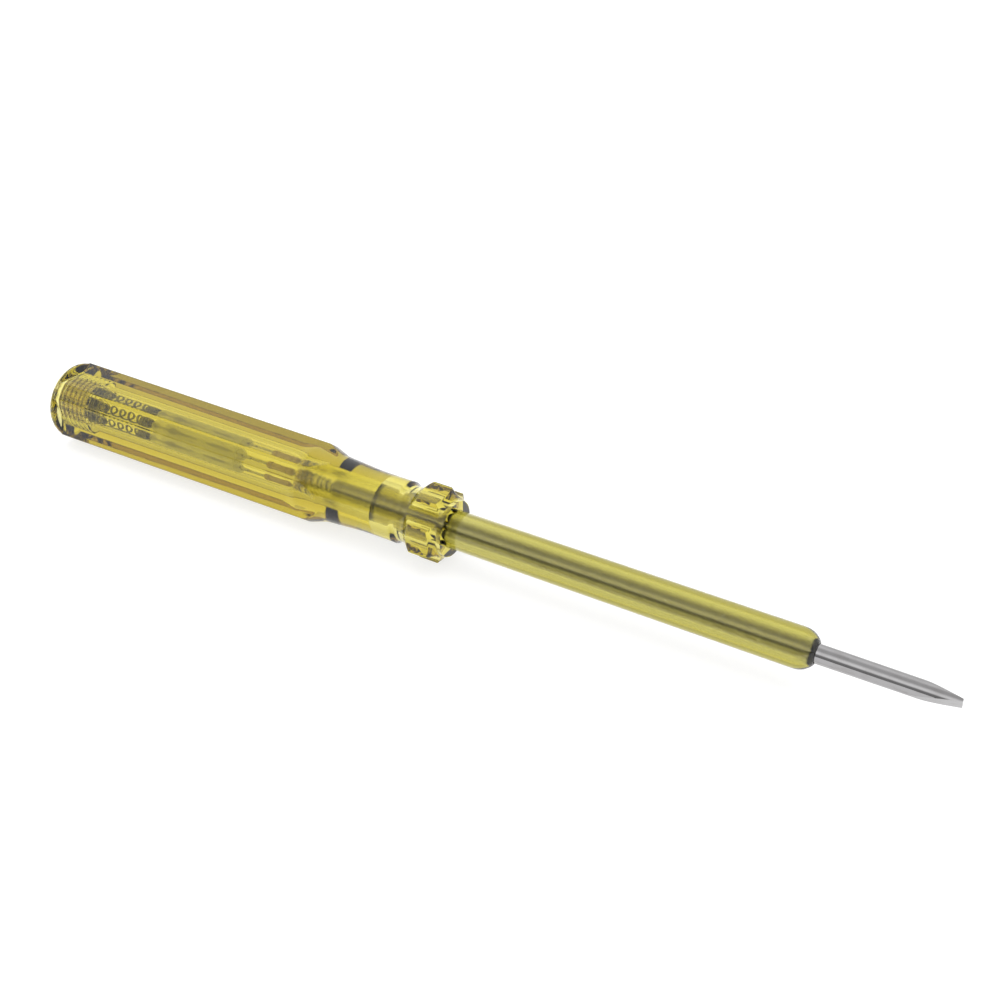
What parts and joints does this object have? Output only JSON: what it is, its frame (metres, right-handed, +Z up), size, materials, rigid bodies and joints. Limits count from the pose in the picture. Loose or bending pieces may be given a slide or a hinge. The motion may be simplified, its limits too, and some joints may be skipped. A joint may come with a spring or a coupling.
{
  "type": "neon mains tester screwdriver",
  "caption": "Slotted screwdriver with a clear handle holding a neon lamp, resistor and springs, a screw-in end contact and an insulated blade, for touch testing of live wires.",
  "frame": {"origin": "under the middle of the tool's length, on the surface that it lies on", "axes": "+X along the tool from the end plug to the blade tip, +Z up, square to a wide flat of the grip"},
  "size_m": [0.19, 0.0164, 0.0163],
  "materials": {
    "handle_plastic": "clear yellow moulded plastic, polished",
    "sleeve_plastic": "clear yellow moulded plastic, polished",
    "plated_steel": "bright nickel plating over drawn steel",
    "spring_steel": "drawn spring wire",
    "nickel": "turned brass with nickel plating",
    "lamp_glass": "clear lamp glass",
    "electrode_metal": "oxidised nickel electrodes",
    "tinned_metal": "tinned copper and solder",
    "resistor_lacquer": "lacquered resistor body"
  },
  "bodies": {
    "tester": {"handle": "handle_plastic", "lamp_envelope": "lamp_glass", "lamp_bead": "lamp_glass", "lamp_button": "tinned_metal", "lamp_lead_rear": "electrode_metal", "electrode_rear": "electrode_metal", "electrode_front": "electrode_metal", "lamp_lead_front": "electrode_metal", "lamp_pin": "tinned_metal", "resistor_lead_rear": "tinned_metal", "resistor_cap_rear": "resistor_lacquer", "resistor_rod": "resistor_lacquer", "resistor_cap_front": "resistor_lacquer", "resistor_lead_front": "tinned_metal", "contact_disc": "nickel", "front_spring": "spring_steel", "blade": "plated_steel", "insulating_sleeve": "sleeve_plastic"},
    "spring_carrier": {"contact_spring": "spring_steel"},
    "screw_plug": {"end_plug": "nickel"}
  },
  "joints": [
    {"name": "plug_travel", "type": "slide", "parent": "tester", "child": "spring_carrier", "axis": [-1, 0, 0], "range_m": [0, 0.0084]},
    {"name": "plug_turn", "type": "hinge", "parent": "spring_carrier", "child": "screw_plug", "pos_m": [-0.0948, 0, 0.00815], "axis": [-1, 0, 0], "range_deg": [0, 2521]}
  ],
  "couplings": [
    {"joint": "plug_turn", "follows": "plug_travel", "rad_per_m": 5236}
  ]
}
